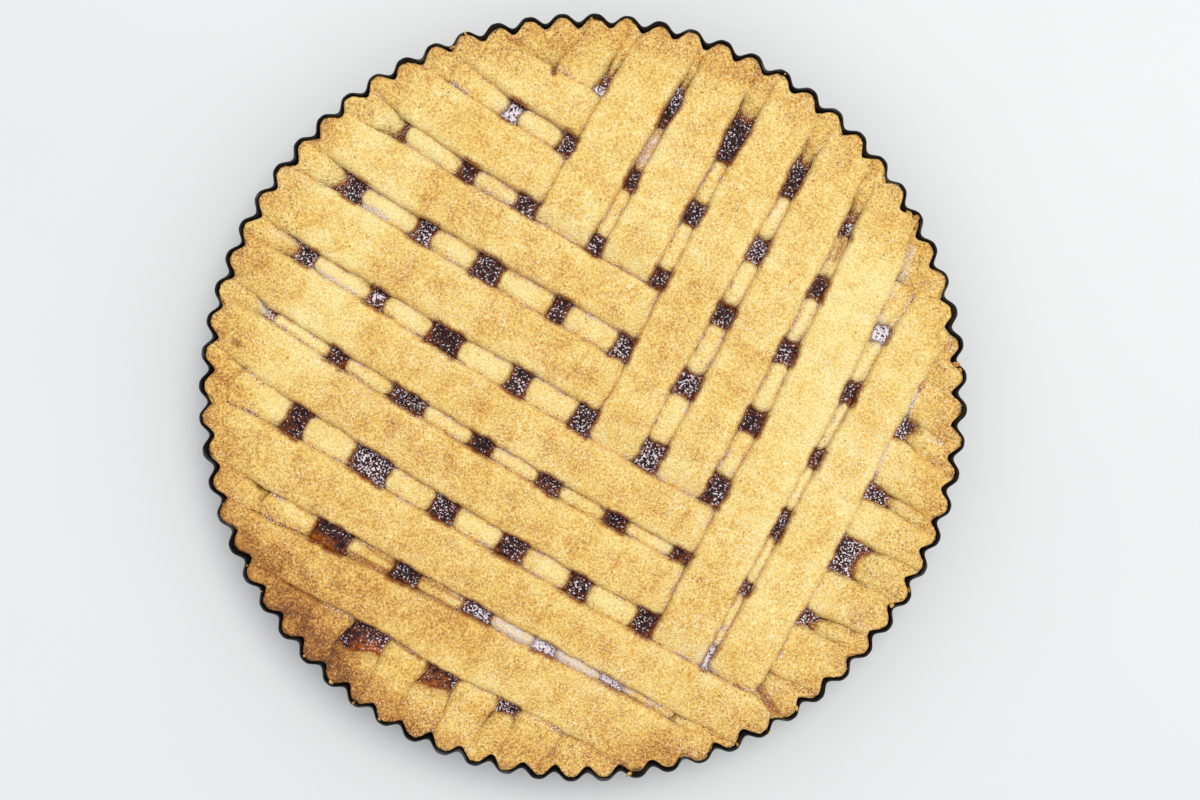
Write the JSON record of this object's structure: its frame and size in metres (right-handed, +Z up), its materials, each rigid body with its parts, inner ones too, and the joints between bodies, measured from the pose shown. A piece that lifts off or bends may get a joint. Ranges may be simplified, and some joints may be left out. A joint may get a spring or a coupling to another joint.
{
  "type": "linzer tart",
  "caption": "Large round jam tart with a laid pastry lattice, baked in a low black fluted tin that comes with it.",
  "frame": {"origin": "middle of the tin's flat underside, on the surface the tart stands on", "axes": "+Z up, +X to the right and +Y to the top of the tart as seen from above; the a strips run 27.5 degrees clockwise from +X"},
  "size_m": [0.2998, 0.2998, 0.0293],
  "materials": {
    "tin": "black non-stick coating on thin steel",
    "crust": "matt baked shortcrust, sandy and golden, browner at the rim",
    "jam": "glossy dark red-brown jam dusted with icing sugar",
    "lattice": "matt baked shortcrust, pale gold with a dusting of icing sugar"
  },
  "bodies": {
    "root": {"tin": "tin", "crust": "crust", "jam": "jam", "strip_a1": "lattice", "strip_a2": "lattice", "strip_a3": "lattice", "strip_a4": "lattice", "strip_a5": "lattice", "strip_a6": "lattice", "strip_a7": "lattice", "strip_a8": "lattice", "strip_b1": "lattice", "strip_b2": "lattice", "strip_b3": "lattice", "strip_b4": "lattice", "strip_b5": "lattice", "strip_b6": "lattice", "strip_b7": "lattice", "strip_b8": "lattice"}
  },
  "joints": []
}
